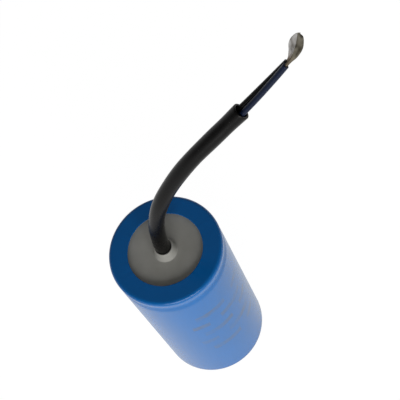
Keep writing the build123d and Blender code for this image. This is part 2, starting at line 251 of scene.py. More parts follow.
# %% [markdown]
# ## Cable jacket
# The black jacket is a soft tube, cut square with a knife. Its cut edge is a little rounded, and the mouth
# is hollow and slightly flared by the two cores inside, so the surface turns at the end and runs back down
# the bore. A bevel on the curve would give a plain tube only. A ring carried along the route can swell,
# flare and turn in.

# %% Make the jacket
JACKET_WALL = 0.85
CUT_ROUND = 0.3
JACKET_BORE_DEPTH = 14.5
JACKET_COLUMNS = 64
JACKET_ROWS = 150
EDGE_STEPS = 6
SWELL = 0.04
SWELL_WAVE = 21.0
FLARE = 0.17
FLARE_RUN = 10.0


def eased(share):
    """Smooth step from 0 to 1: three times the square of the share, less twice its cube."""
    return share ** 2 * (3 - 2 * share)


jacket_length = path_length(jacket_path)
jacket_radius = CABLE_DIAMETER / 2
bore_radius = jacket_radius - JACKET_WALL
wall_places = np.linspace(0, jacket_length - CUT_ROUND, JACKET_ROWS)
swell = SWELL * np.sin(2 * np.pi * wall_places / SWELL_WAVE) * (wall_places > SWELL_WAVE)
flare_share = np.clip((wall_places - jacket_length + FLARE_RUN) / FLARE_RUN, 0, 1)
wall_radii = jacket_radius + swell + FLARE * eased(flare_share)
lip_places, lip_radii = rounded_edge(wall_radii[-1], jacket_length, CUT_ROUND, EDGE_STEPS, True)
inner_places, inner_radii = rounded_edge(bore_radius + FLARE, jacket_length, CUT_ROUND, EDGE_STEPS, False)
bore_floor = jacket_length - JACKET_BORE_DEPTH
bore_places = np.array([jacket_length - JACKET_BORE_DEPTH / 2, bore_floor, bore_floor])
places = np.concatenate([[0.0], wall_places, lip_places, inner_places[::-1], bore_places])
radii = np.concatenate([[0.0], wall_radii, lip_radii, inner_radii[::-1], [bore_radius, bore_radius, 0.0]])
jacket = grid_piece("jacket", tube_grid(jacket_path, places, radii, JACKET_COLUMNS),
                    tube_uv(places, JACKET_COLUMNS))
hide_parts("cable_jacket")

# %% [markdown]
# ## Cores
# Each core is a thin insulated wire. Its insulation was stripped with pliers, so its end is cut square too,
# and shows a ring of plastic round the bare wire. The same tube serves, with a narrow bore at its end.

# %% Make the cores
CORE_COLUMNS = 32
CORE_ROWS = 60
CORE_CUT_ROUND = 0.16
CORE_BORE_RADIUS = 0.65
CORE_BORE_DEPTH = 3.3


def core_piece(name, path):
    """Closed tube with a rounded cut end, whose surface turns in there and lines a bore for the wire."""
    length = path_length(path)
    radius = CORE_DIAMETER / 2
    side_places = np.linspace(0, length - CORE_CUT_ROUND, CORE_ROWS)
    end_places, end_radii = rounded_edge(radius, length, CORE_CUT_ROUND, EDGE_STEPS, True)
    sink = np.array([length, length - CORE_BORE_DEPTH, length - CORE_BORE_DEPTH])
    sink_radii = np.array([CORE_BORE_RADIUS, CORE_BORE_RADIUS, 0.0])
    core_places = np.concatenate([[0.0], side_places, end_places, sink])
    core_radii = np.concatenate([[0.0], np.full(CORE_ROWS, radius), end_radii, sink_radii])
    grid = tube_grid(path, core_places, core_radii, CORE_COLUMNS)
    return grid_piece(name, grid, tube_uv(core_places, CORE_COLUMNS))


black_core = core_piece("core_black_insulation", black_path)
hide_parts("core_black")
blue_core = core_piece("core_blue_insulation", blue_path)
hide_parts("core_blue")

# %% [markdown]
# ## Bare wire ends
# The strands were dipped in solder and pressed flat, so each end is a small blade: round where it leaves
# the insulation, wide in the middle, and cut off at a slant. Ridges run along it, one for each strand under
# the tin. Each strand could be a tube of its own, but under the tin they are one body, so one surface is
# enough: an ellipse whose two half widths change along the blade, with a ripple for the strands.

# %% Smooth curve through a few values
def smooth_through(places, values, wanted):
    """Smooth curve through the values: cubic Hermite pieces whose slopes are the mean rise on each side."""
    slopes = np.gradient(values, places, axis=0)
    index = np.clip(np.searchsorted(places, wanted) - 1, 0, len(places) - 2)
    gap = (places[index + 1] - places[index])[:, None]
    share = ((wanted - places[index])[:, None]) / gap
    square = share * share
    cube = square * share
    start = (2 * cube - 3 * square + 1) * values[index] + (cube - 2 * square + share) * gap * slopes[index]
    finish = (3 * square - 2 * cube) * values[index + 1] + (cube - square) * gap * slopes[index + 1]
    return start + finish


# %% Line and ripple of a blade
WIRE_RADIUS = 0.55
WIRE_IN_CORE = 3.0
WIRE_ROWS = 90
STRANDS = 18
STRAND_SHARE = 0.08
STRAND_LEAST_SHARE = 0.5
STRAND_TWIST_RADIANS = 1.1
GROOVE_POWER = 3


def blade_line(path, tips):
    """Lengths along a blade, with its middle line and its two half widths there. It starts in the core's bore
    and runs smoothly through the rows of tips."""
    end = path[-1]
    heading = path[-1] - path[-2]
    heading /= np.linalg.norm(heading)
    table = np.array(tips)
    spots = np.concatenate([[end - WIRE_IN_CORE * heading, end], end + table[:, :3]])
    halves = np.concatenate([np.full((2, 2), WIRE_RADIUS), table[:, 3:]])
    gaps = np.linalg.norm(np.diff(spots, axis=0), axis=1)
    knots = np.concatenate([[0.0], np.cumsum(gaps)])
    wanted = np.linspace(0, knots[-1], WIRE_ROWS)
    return wanted, smooth_through(knots, spots, wanted), smooth_through(knots, halves, wanted)


def strand_ripple(turn, along_share, seed):
    """Share of the half width left by the grooves between strands: one less a seeded depth for each strand
    times a power of the cosine of half the strands' turn. The strands twist slowly along the blade."""
    draw = np.random.default_rng(seed)
    uneven = STRAND_LEAST_SHARE + draw.random(STRANDS)
    lay = turn[None, :] + STRAND_TWIST_RADIANS * along_share[:, None]
    strand = (lay / (2 * np.pi) * STRANDS).astype(int) % STRANDS
    return 1 - STRAND_SHARE * uneven[strand] * np.abs(np.cos(lay * STRANDS / 2)) ** GROOVE_POWER


# %% Shape of a blade
WIRE_COLUMNS = 108
SLANT_POWER = 8
CUT_SHRINK_SHARE = 0.8
WIRE_CUT_ROUND = 0.24


def wire_piece(name, path, tips, face_shares, slant_share, seed):
    """Blade: half width x cos across + half thickness x sin over, each times the strands' ripple. Near the
    end each point also moves forward by the slant times its place across, so the cut is slanted."""
    wanted, middle, half = blade_line(path, tips)
    along_share = wanted / wanted[-1]
    forward = np.gradient(middle, wanted, axis=0)
    forward /= np.linalg.norm(forward, axis=1, keepdims=True)
    across = np.cross(forward, np.array(face_shares))
    across /= np.linalg.norm(across, axis=1, keepdims=True)
    over = np.cross(forward, across)
    turn = np.linspace(0, 2 * np.pi, WIRE_COLUMNS, endpoint=False)
    ripple = strand_ripple(turn, along_share, seed)
    wide = half[:, :1] * np.cos(turn)[None, :] * ripple
    thick = half[:, 1:] * np.sin(turn)[None, :] * ripple
    grid = middle[:, None, :] + wide[..., None] * across[:, None, :] + thick[..., None] * over[:, None, :]
    near_end = along_share ** SLANT_POWER
    grid += (slant_share * near_end[:, None] * wide)[..., None] * forward[:, None, :]
    lip = middle[-1] + (grid[-1:] - middle[-1]) * CUT_SHRINK_SHARE + forward[-1] * WIRE_CUT_ROUND
    start_pole = np.broadcast_to(middle[:1, None], (1, WIRE_COLUMNS, 3))
    end_pole = np.broadcast_to(lip.mean(1, keepdims=True), (1, WIRE_COLUMNS, 3))
    lengths = np.concatenate([[0.0], wanted, [wanted[-1], wanted[-1]]])
    return grid_piece(name, np.concatenate([start_pole, grid, lip, end_pole]), tube_uv(lengths, WIRE_COLUMNS))


# %% Make the wire ends
# Along X, along Y and up from the end of each core, then half width and half thickness
TIP_BLACK = [(1.1, 0.1, 1.8, 0.62, 0.5), (2.25, 0.35, 4.4, 1.2, 0.36), (3.2, 0.4, 7.9, 1.7, 0.28),
             (4.3, 0.3, 10.6, 1.5, 0.26), (5.95, 0.2, 13.4, 0.85, 0.26)]
TIP_BLUE = [(1.75, -0.05, 1.5, 0.62, 0.5), (3.85, -0.15, 3.65, 1.15, 0.36), (5.95, -0.15, 7.35, 1.5, 0.28),
            (6.8, 0.05, 10.3, 1.4, 0.26), (7.5, 0.1, 13.9, 1.1, 0.26)]
# Way that each flat side faces, as shares of a step along X, along Y and up
BLACK_FACE_SHARES = (-0.28, -0.22, 0.93)
BLUE_FACE_SHARES = (0.14, -0.76, 0.62)
BLACK_SLANT_SHARE = 1.3
BLUE_SLANT_SHARE = -1.5
BLACK_SEED = 3
BLUE_SEED = 7

black_wire = wire_piece("wire_black_end", black_path, TIP_BLACK, BLACK_FACE_SHARES, BLACK_SLANT_SHARE,
                        BLACK_SEED)
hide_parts("conductor_black")
blue_wire = wire_piece("wire_blue_end", blue_path, TIP_BLUE, BLUE_FACE_SHARES, BLUE_SLANT_SHARE, BLUE_SEED)
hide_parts("conductor_blue")

# %% [markdown]
# ## The cords' lengths
# The jacket is one cord, and each core that leaves it is another. The photograph shows all of the lead, so
# its length is what is seen. The lead is short and stiff, and stands up by itself. Each core's length is
# printed.

black_lead = (black_core, black_wire, black_path, BLACK_SIDE)
blue_lead = (blue_core, blue_wire, blue_path, BLUE_SIDE)
for core, wire, path, side in (black_lead, blue_lead):
    print("cord", core.name, round(path_length(path), 1), "mm")

# %% [markdown]
# ## Shrink film
# The blue film is a tube that was heated until it shrank on the can. It is turned in flat over the lid's
# edge, dips a little over the can's bead, and turns in under the base. It could stay the CAD solid, but a
# real film is never quite true: the free edge of the fold wanders, and faint puckers run out from it where
# the film had to shrink most. The piece is a profile spun round Z, with those puckers added to the height
# of the fold.

# %% Half section of the film
TOP_OPENING = 16.5
BASE_OPENING = 19.0
TOP_CORNER = 1.6
BASE_CORNER = 2.4
BEAD_LEVEL = 100.0
BEAD_BELOW = 4.5
BEAD_ABOVE = 3.0
FILM_DIP = 0.42
LOW_FOLD_STEPS = 8
CORNER_STEPS = 12
WALL_STEPS = 40
TOP_FOLD_STEPS = 28


def film_line():
    """Half section of the film's outside, from the lower fold's edge to the upper fold's edge: two flat
    folds, two quarter circles, and a wall that dips over the bead by half a cosine on each side."""
    quarter = np.linspace(0, np.pi / 2, CORNER_STEPS)
    low_radius = np.linspace(BASE_OPENING, SLEEVE_RADIUS - BASE_CORNER, LOW_FOLD_STEPS)
    low_fold = np.stack([low_radius, np.zeros(LOW_FOLD_STEPS)], -1)
    heel = np.stack([SLEEVE_RADIUS - BASE_CORNER + BASE_CORNER * np.sin(quarter),
                     BASE_CORNER - BASE_CORNER * np.cos(quarter)], -1)
    level = np.concatenate([np.linspace(BASE_CORNER, BEAD_LEVEL - BEAD_BELOW, WALL_STEPS)[1:],
                            np.linspace(BEAD_LEVEL - BEAD_BELOW, HEIGHT - TOP_CORNER, WALL_STEPS)[1:]])
    reach = np.where(level < BEAD_LEVEL, BEAD_BELOW, BEAD_ABOVE)
    share = np.clip(np.abs(level - BEAD_LEVEL) / reach, 0, 1)
    wall = np.stack([SLEEVE_RADIUS - FILM_DIP * (1 + np.cos(np.pi * share)) / 2, level], -1)
    shoulder = np.stack([SLEEVE_RADIUS - TOP_CORNER + TOP_CORNER * np.cos(quarter),
                         HEIGHT - TOP_CORNER + TOP_CORNER * np.sin(quarter)], -1)
    top_radius = np.linspace(SLEEVE_RADIUS - TOP_CORNER, TOP_OPENING, TOP_FOLD_STEPS)
    top_fold = np.stack([top_radius, np.full(TOP_FOLD_STEPS, HEIGHT)], -1)
    return np.concatenate([low_fold, heel[1:], wall, shoulder[1:], top_fold[1:]])


# %% Spin the film
FILM = 0.4
FILM_COLUMNS = 288
WAVE_LEAST_SHARE = 0.5
PUCKER_HEIGHT = 0.05
PUCKER_REACH = 3.0
PUCKER_LOBES = [17, 23, 29, 37, 43]
PUCKER_SEED = 5
EDGE_WANDER = 0.12
EDGE_LOBES = [2, 3, 5, 9]
EDGE_SEED = 11
WALL_WAVE = 0.03
WALL_LOBES = [3, 4, 7]
WALL_SEED = 17


def wander(turn, lobes, seed):
    """Sum of sine waves with the given numbers of lobes and seeded phases, scaled to about one."""
    draw = np.random.default_rng(seed)
    phases = draw.random(len(lobes)) * 2 * np.pi
    sizes = draw.random(len(lobes)) + WAVE_LEAST_SHARE
    waves = sizes[:, None] * np.sin(np.array(lobes)[:, None] * turn[None, :] + phases[:, None])
    return waves.sum(0) / sizes.sum()


outside = film_line()
slope = np.gradient(outside, axis=0)
slope /= np.linalg.norm(slope, axis=1, keepdims=True)
inside = outside + FILM * np.stack([-slope[:, 1], slope[:, 0]], -1)
section = np.concatenate([outside, inside[::-1]])
film_turn = np.linspace(0, 2 * np.pi, FILM_COLUMNS, endpoint=False)
radius_grid = np.repeat(section[:, :1], FILM_COLUMNS, 1)
height_grid = np.repeat(section[:, 1:], FILM_COLUMNS, 1)
on_top = (section[:, 1] > HEIGHT - 2 * FILM) & (section[:, 0] < SLEEVE_RADIUS - TOP_CORNER)
near_edge = np.exp(-(section[:, 0] - TOP_OPENING) / PUCKER_REACH) * on_top
pucker = wander(film_turn, PUCKER_LOBES, PUCKER_SEED)
height_grid += PUCKER_HEIGHT * near_edge[:, None] * (1 + pucker[None, :])
radius_grid += EDGE_WANDER * near_edge[:, None] * wander(film_turn, EDGE_LOBES, EDGE_SEED)[None, :]
on_wall = (section[:, 1] > BASE_CORNER) & (section[:, 1] < BEAD_LEVEL - BEAD_BELOW)
wall_ease = np.sin(np.pi * np.clip(section[:, 1] / (BEAD_LEVEL - BEAD_BELOW), 0, 1)) * on_wall
wall_wave = wander(film_turn, WALL_LOBES, WALL_SEED)
radius_grid -= WALL_WAVE * wall_ease[:, None] * (1 + wall_wave[None, :]) / 2
film_grid = np.stack([radius_grid * np.cos(film_turn), radius_grid * np.sin(film_turn), height_grid], -1)
film = grid_piece("shrink_film", film_grid, closed_along=True)
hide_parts("sleeve")

# %% [markdown]
# ## Finishes
# Colours are written as hex values, as a colour picker shows them, and one function turns them to the
# linear values that shaders use. One more function adds a node, sets it up and links it. In a Mix node set
# to RGBA, sockets 0, 6 and 7 are the factor and the two colours, and output 2 is the mixed colour.

# %% Material helpers
def linear(hex_colour):
    """sRGB hex to linear red, green, blue and alpha, by the curve of the sRGB standard."""
    srgb = np.array([int(hex_colour[place:place + 2], 16) for place in (1, 3, 5)]) / 255
    values = np.where(srgb <= 0.04045, srgb / 12.92, ((srgb + 0.055) / 1.055) ** 2.4)
    return (*values.tolist(), 1.0)


def new_material(name):
    """Empty node material, with its tree and its Principled shader."""
    material = bpy.data.materials.new(name)
    material.use_nodes = True
    shader = material.node_tree.nodes["Principled BSDF"]
    return material, material.node_tree, shader


def add_node(tree, kind, settings=None, values=None, links=None):
    """Node of a kind, with its settings, its socket values and its incoming links."""
    node = tree.nodes.new(kind)
    for key, value in (settings or {}).items():
        setattr(node, key, value)
    for key, value in (values or {}).items():
        node.inputs[key].default_value = value
    for key, source in (links or {}).items():
        tree.links.new(source, node.inputs[key])
    return node


def dress(material, *targets):
    """Put one material on pieces or CAD nodes."""
    for target in targets:
        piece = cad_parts[target] if isinstance(target, str) else target
        piece.data.materials.clear()
        piece.data.materials.append(material)
    print(material.name, "on", len(targets))


def per_metre(size_mm):
    """Noise scale whose features are about that many millimetres wide."""
    return 1 / (size_mm * MM)


# %% [markdown]
# ### Blue shrink film
# The film is plasticised PVC, drawn tight and glossy. Seen straight on it is a deep blue; seen at a slant
# it turns pale, because a glossy surface mirrors the white floor there. Heat leaves a faint orange peel. Five
# rows of plain grey bars, worn by handling, lie on the wall. They could be a picture laid on it, but a brick
# pattern needs none: it is drawn on the unrolled wall, angle across and height up, both in units of the
# radius, with the joints left bare.

# %% Film finish
PEEL_SIZE = 2.2
PEEL_DEPTH = 0.02
PEEL_SHARE = 0.25
CLOUD_SIZE = 14.0
FILM_ROUGHNESS = (0.16, 0.26)
FILM_IOR = 1.41

film_finish, tree, shader = new_material("shrink_pvc_blue")
coordinates = add_node(tree, "ShaderNodeTexCoord")
peel = add_node(tree, "ShaderNodeTexNoise", values={"Scale": per_metre(PEEL_SIZE), "Detail": 2.0},
                links={"Vector": coordinates.outputs["Object"]})
cloud = add_node(tree, "ShaderNodeTexNoise", values={"Scale": per_metre(CLOUD_SIZE), "Detail": 3.0},
                 links={"Vector": coordinates.outputs["Object"]})
shade = add_node(tree, "ShaderNodeMix", settings={"data_type": "RGBA"},
                 values={6: linear("#0064AE"), 7: linear("#0069B8")}, links={0: cloud.outputs["Fac"]})
gloss = add_node(tree, "ShaderNodeMapRange",
                 values={"To Min": FILM_ROUGHNESS[0], "To Max": FILM_ROUGHNESS[1]},
                 links={"Value": cloud.outputs["Fac"]})
bump = add_node(tree, "ShaderNodeBump", values={"Strength": PEEL_SHARE, "Distance": PEEL_DEPTH * MM},
                links={"Height": peel.outputs["Fac"]})
tree.links.new(gloss.outputs["Result"], shader.inputs["Roughness"])
tree.links.new(bump.outputs["Normal"], shader.inputs["Normal"])
shader.inputs["IOR"].default_value = FILM_IOR
dress(film_finish, film)

# %% Plain bars on the film
BAR_LENGTH = 22.0
BAR_PITCH = 10.4
BAR_JOINT = 3.3
BAR_EDGE_SHARE = 0.1
BARS_MIDDLE_DEGREES = -63.0
BARS_HALF_DEGREES = 39.0
BAR_ROWS = 5
BAR_FIRST_ROW = 3
WEAR_SIZE = 6.0
WEAR_RANGE = (0.35, 0.65)
INK_LEFT_SHARES = (0.12, 0.5)

spot = add_node(tree, "ShaderNodeSeparateXYZ", links={"Vector": coordinates.outputs["Object"]})
angle = add_node(tree, "ShaderNodeMath", settings={"operation": "ARCTAN2"},
                 links={0: spot.outputs["Y"], 1: spot.outputs["X"]})
rise = add_node(tree, "ShaderNodeMath", settings={"operation": "DIVIDE"}, values={1: SLEEVE_RADIUS * MM},
                links={0: spot.outputs["Z"]})
unrolled = add_node(tree, "ShaderNodeCombineXYZ", links={"X": angle.outputs[0], "Y": rise.outputs[0]})
row_rise = BAR_PITCH / SLEEVE_RADIUS
bars = add_node(tree, "ShaderNodeTexBrick",
                values={"Scale": 1.0, "Brick Width": BAR_LENGTH / SLEEVE_RADIUS, "Row Height": row_rise,
                        "Mortar Size": BAR_JOINT / SLEEVE_RADIUS, "Mortar Smooth": BAR_EDGE_SHARE},
                links={"Vector": unrolled.outputs["Vector"]})
in_width = add_node(tree, "ShaderNodeMath", settings={"operation": "COMPARE"}, links={0: angle.outputs[0]},
                    values={1: math.radians(BARS_MIDDLE_DEGREES), 2: math.radians(BARS_HALF_DEGREES)})
in_rows = add_node(tree, "ShaderNodeMath", settings={"operation": "COMPARE"}, links={0: rise.outputs[0]},
                   values={1: (BAR_FIRST_ROW + BAR_ROWS / 2) * row_rise, 2: BAR_ROWS / 2 * row_rise})
wear = add_node(tree, "ShaderNodeTexNoise", values={"Scale": per_metre(WEAR_SIZE), "Detail": 2.0},
                links={"Vector": coordinates.outputs["Object"]})
ink_left = add_node(tree, "ShaderNodeMapRange",
                    values={"From Min": WEAR_RANGE[0], "From Max": WEAR_RANGE[1],
                            "To Min": INK_LEFT_SHARES[0], "To Max": INK_LEFT_SHARES[1]},
                    links={"Value": wear.outputs["Fac"]})
on_bar = add_node(tree, "ShaderNodeMath", settings={"operation": "SUBTRACT"}, values={0: 1.0},
                  links={1: bars.outputs["Fac"]})
ink = in_width
for share in (in_rows, ink_left, on_bar):
    ink = add_node(tree, "ShaderNodeMath", settings={"operation": "MULTIPLY"},
                   links={0: ink.outputs[0], 1: share.outputs[0]})
barred = add_node(tree, "ShaderNodeMix", settings={"data_type": "RGBA"}, values={7: linear("#5A5C58")},
                  links={0: ink.outputs[0], 6: shade.outputs[2]})
tree.links.new(barred.outputs[2], shader.inputs["Base Color"])
print("bars in", BAR_ROWS, "rows of", BAR_PITCH, "mm")

# %% [markdown]
# ### Grey lid
# The lid is a moulded, filled plastic with a fine spark-eroded grain. It is matt, so light spreads evenly
# over it, and the grain only breaks up the shine. The real grain is too fine to show, so it is drawn as
# coarse as a third of a millimetre. Handling leaves soft clouds some millimetres wide, which one noise gives.
# A dark ring in the narrow gap round the cable is painted shade, for the shadow that falls in that gap. It is
# found by its distance from the axis.

# %% Lid finish
LID_GRAIN = 0.35
LID_GRAIN_DEPTH = 0.03
LID_GRAIN_SHARE = 0.35
LID_CLOUD = 9.0
LID_ROUGHNESS = 0.55
LID_IOR = 1.5
# Painted shade round the cable: the lid is near black out to the first radius from the axis, and back to its
# own colour at the second.
GAP_SHADE_DARKEST_TO = 3.45
GAP_SHADE_ENDS_AT = 3.75

lid_finish, tree, shader = new_material("moulded_plastic_grey")
coordinates = add_node(tree, "ShaderNodeTexCoord")
grain = add_node(tree, "ShaderNodeTexNoise", values={"Scale": per_metre(LID_GRAIN), "Detail": 3.0},
                 links={"Vector": coordinates.outputs["Object"]})
cloud = add_node(tree, "ShaderNodeTexNoise", values={"Scale": per_metre(LID_CLOUD), "Detail": 4.0},
                 links={"Vector": coordinates.outputs["Object"]})
shade = add_node(tree, "ShaderNodeMix", settings={"data_type": "RGBA"},
                 values={6: linear("#98978F"), 7: linear("#B8B7B2")}, links={0: cloud.outputs["Fac"]})
flat = add_node(tree, "ShaderNodeVectorMath", settings={"operation": "MULTIPLY"}, values={1: (1.0, 1.0, 0.0)},
                links={0: coordinates.outputs["Object"]})
from_axis = add_node(tree, "ShaderNodeVectorMath", settings={"operation": "LENGTH"},
                     links={0: flat.outputs["Vector"]})
past_gap_shade = add_node(tree, "ShaderNodeMapRange",
                 values={"From Min": GAP_SHADE_DARKEST_TO * MM, "From Max": GAP_SHADE_ENDS_AT * MM},
                 links={"Value": from_axis.outputs["Value"]})
# Painted shade: near black mixed into the lid's colour in the gap round the cable.
gap_shade_painted = add_node(tree, "ShaderNodeMix", settings={"data_type": "RGBA"}, values={6: linear("#1E1D1B")},
                 links={0: past_gap_shade.outputs["Result"], 7: shade.outputs[2]})
bump = add_node(tree, "ShaderNodeBump",
                values={"Strength": LID_GRAIN_SHARE, "Distance": LID_GRAIN_DEPTH * MM},
                links={"Height": grain.outputs["Fac"]})
tree.links.new(gap_shade_painted.outputs[2], shader.inputs["Base Color"])
tree.links.new(bump.outputs["Normal"], shader.inputs["Normal"])
shader.inputs["Roughness"].default_value = LID_ROUGHNESS
shader.inputs["IOR"].default_value = LID_IOR
dress(lid_finish, "end_cap")

# %% [markdown]
# ### Cable jacket and core insulation
# The jacket and the cores are extruded PVC. Extrusion draws fine lines along the cable, so the pattern is
# stretched along the tube by its own UV map, which holds millimetres along and turns round. The real lines
# are finer than the picture can show, so they are drawn wider. The plastic itself is nearly black. The grey
# along the cable is its shine, which mirrors the white floor and, at the foot, the dark lid, so it is left to
# the gloss and isn't painted.

# %% Extruded finishes
LINE_RUN = 20.0
LINE_WIDTH = 0.6
LINE_DEPTH = 0.03
LINE_SHARE = 0.08
JACKET_CLOUD = 6.0
DULLER_BY = 0.08
GLOSSIER_BY = 0.06
EXTRUDED_IOR = 1.28
JACKET_ROUGHNESS = 0.27
CORE_ROUGHNESS = 0.3
JACKET_ROUND = math.pi * CABLE_DIAMETER
CORE_ROUND = math.pi * CORE_DIAMETER


def extruded_finish(name, dark, light, roughness, around):
    """PVC drawn through a die: fine lines along the tube, and a satin shine that varies in soft clouds."""
    material, tree, shader = new_material(name)
    laid = add_node(tree, "ShaderNodeUVMap", settings={"uv_map": "along_round"})
    stretch = add_node(tree, "ShaderNodeMapping", values={"Scale": (1 / LINE_RUN, around / LINE_WIDTH, 1.0)},
                       links={"Vector": laid.outputs["UV"]})
    lines = add_node(tree, "ShaderNodeTexNoise", values={"Scale": 1.0, "Detail": 2.0},
                     links={"Vector": stretch.outputs["Vector"]})
    coordinates = add_node(tree, "ShaderNodeTexCoord")
    cloud = add_node(tree, "ShaderNodeTexNoise", values={"Scale": per_metre(JACKET_CLOUD), "Detail": 4.0},
                     links={"Vector": coordinates.outputs["Object"]})
    shade = add_node(tree, "ShaderNodeMix", settings={"data_type": "RGBA"},
                     values={6: linear(dark), 7: linear(light)}, links={0: cloud.outputs["Fac"]})
    gloss = add_node(tree, "ShaderNodeMapRange",
                     values={"To Min": roughness - GLOSSIER_BY, "To Max": roughness + DULLER_BY},
                     links={"Value": cloud.outputs["Fac"]})
    bump = add_node(tree, "ShaderNodeBump", values={"Strength": LINE_SHARE, "Distance": LINE_DEPTH * MM},
                    links={"Height": lines.outputs["Fac"]})
    tree.links.new(shade.outputs[2], shader.inputs["Base Color"])
    tree.links.new(gloss.outputs["Result"], shader.inputs["Roughness"])
    tree.links.new(bump.outputs["Normal"], shader.inputs["Normal"])
    shader.inputs["IOR"].default_value = EXTRUDED_IOR
    return material


dress(extruded_finish("jacket_pvc_black", "#060505", "#0A0909", JACKET_ROUGHNESS, JACKET_ROUND), jacket)
dress(extruded_finish("core_pvc_black", "#080808", "#0E0D0D", CORE_ROUGHNESS, CORE_ROUND), black_core)
dress(extruded_finish("core_pvc_blue", "#0D1830", "#121F3B", CORE_ROUGHNESS, CORE_ROUND), blue_core)

# %% [markdown]
# ### Tinned copper
# Tin is a soft grey metal. Where the solder pooled it is bright, and where the pliers bit and flux dried it
# is dull and brown, so both the colour and the roughness follow one noise, drawn out along the strands. The
# first few millimetres out of the insulation took little tin and are brownish, which the UV map's length
# tells apart.

# %% Tinned wire finish
STAIN_LONG = 5.0
STAIN_WIDE = 1.6
STAIN_RANGE = (0.35, 0.62)
DULL_ROUGHNESS = 0.6
BRIGHT_ROUGHNESS = 0.35
BARE_FROM = 4.5
BARE_TO = 8.5
WIRE_ROUND = 5.0


def tin_finish(name, dull_hex, bright_hex, bare_hex):
    """Tin mixed from a dull and a bright shade by stretched noise, over a bare stretch at the insulation."""
    material, tree, shader = new_material(name)
    laid = add_node(tree, "ShaderNodeUVMap", settings={"uv_map": "along_round"})
    stretch = add_node(tree, "ShaderNodeMapping",
                       values={"Scale": (1 / STAIN_LONG, WIRE_ROUND / STAIN_WIDE, 1.0)},
                       links={"Vector": laid.outputs["UV"]})
    stain = add_node(tree, "ShaderNodeTexNoise", values={"Scale": 1.0, "Detail": 1.0},
                     links={"Vector": stretch.outputs["Vector"]})
    patch = add_node(tree, "ShaderNodeMapRange",
                     values={"From Min": STAIN_RANGE[0], "From Max": STAIN_RANGE[1]},
                     links={"Value": stain.outputs["Fac"]})
    tin = add_node(tree, "ShaderNodeMix", settings={"data_type": "RGBA"},
                   values={6: linear(dull_hex), 7: linear(bright_hex)}, links={0: patch.outputs["Result"]})
    length = add_node(tree, "ShaderNodeSeparateXYZ", links={"Vector": laid.outputs["UV"]})
    tinned = add_node(tree, "ShaderNodeMapRange", values={"From Min": BARE_FROM, "From Max": BARE_TO},
                      links={"Value": length.outputs["X"]})
    shade = add_node(tree, "ShaderNodeMix", settings={"data_type": "RGBA"}, values={6: linear(bare_hex)},
                     links={0: tinned.outputs["Result"], 7: tin.outputs[2]})
    rough = add_node(tree, "ShaderNodeMapRange",
                     values={"To Min": DULL_ROUGHNESS, "To Max": BRIGHT_ROUGHNESS},
                     links={"Value": patch.outputs["Result"]})
    tree.links.new(shade.outputs[2], shader.inputs["Base Color"])
    tree.links.new(rough.outputs["Result"], shader.inputs["Roughness"])
    shader.inputs["Metallic"].default_value = 1.0
    return material


# The blue wire's end gets a darker copy of the same tin.
dress(tin_finish("tinned_copper_bright", "#8A8681", "#C8C6C4", "#8A7C6C"), black_wire)
dress(tin_finish("tinned_copper_darker", "#3E392E", "#7C776A", "#6E6454"), blue_wire)

# %% [markdown]
# ### Drawn aluminium
# The can was drawn from a disc, so its base keeps faint rings from the tool. They come from a wave pattern
# in rings round Z, broken up by noise.

# %% Aluminium finish
RING_PITCH = 2.96
RING_WOBBLE = 1.5
RING_DEPTH = 0.01
RING_SHARE = 0.15
BLOTCH_SIZE = 7.0
CAN_ROUGHNESS = (0.34, 0.5)
# The wave node's sine runs through this many radians in one unit
WAVE_RADIANS = 20

aluminium_finish, tree, shader = new_material("drawn_aluminium")
coordinates = add_node(tree, "ShaderNodeTexCoord")
rings = add_node(tree, "ShaderNodeTexWave", settings={"wave_type": "RINGS", "rings_direction": "Z"},
                 values={"Scale": per_metre(RING_PITCH) * 2 * math.pi / WAVE_RADIANS,
                         "Distortion": RING_WOBBLE, "Detail": 2.0},
                 links={"Vector": coordinates.outputs["Object"]})
blotch = add_node(tree, "ShaderNodeTexNoise", values={"Scale": per_metre(BLOTCH_SIZE), "Detail": 4.0},
                  links={"Vector": coordinates.outputs["Object"]})
dull = add_node(tree, "ShaderNodeMapRange", values={"To Min": CAN_ROUGHNESS[0], "To Max": CAN_ROUGHNESS[1]},
                links={"Value": blotch.outputs["Fac"]})
bump = add_node(tree, "ShaderNodeBump", values={"Strength": RING_SHARE, "Distance": RING_DEPTH * MM},
                links={"Height": rings.outputs["Fac"]})
tree.links.new(dull.outputs["Result"], shader.inputs["Roughness"])
tree.links.new(bump.outputs["Normal"], shader.inputs["Normal"])
shader.inputs["Base Color"].default_value = linear("#C9CACB")
shader.inputs["Metallic"].default_value = 1.0
dress(aluminium_finish, "can", "tab_black", "tab_blue")

# %% [markdown]
# ### Pieces inside the can
# These are out of sight, but the model can be taken apart, so each has its own finish: a mottled colour and
# a bump whose grain fits the material.

# %% Inner finishes
INNER_GRAIN_DEPTH = 0.05


def plain_finish(name, dark, light, roughness, grain, grain_share, metallic):
    """Two close shades mixed by noise, and a bump of the same grain."""
    material, tree, shader = new_material(name)
    coordinates = add_node(tree, "ShaderNodeTexCoord")
    mottle = add_node(tree, "ShaderNodeTexNoise", values={"Scale": per_metre(grain), "Detail": 4.0},
                      links={"Vector": coordinates.outputs["Object"]})
    shade = add_node(tree, "ShaderNodeMix", settings={"data_type": "RGBA"},
                     values={6: linear(dark), 7: linear(light)}, links={0: mottle.outputs["Fac"]})
    bump = add_node(tree, "ShaderNodeBump",
                    values={"Strength": grain_share, "Distance": INNER_GRAIN_DEPTH * MM},
                    links={"Height": mottle.outputs["Fac"]})
    tree.links.new(shade.outputs[2], shader.inputs["Base Color"])
    tree.links.new(bump.outputs["Normal"], shader.inputs["Normal"])
    shader.inputs["Roughness"].default_value = roughness
    shader.inputs["Metallic"].default_value = metallic
    return material


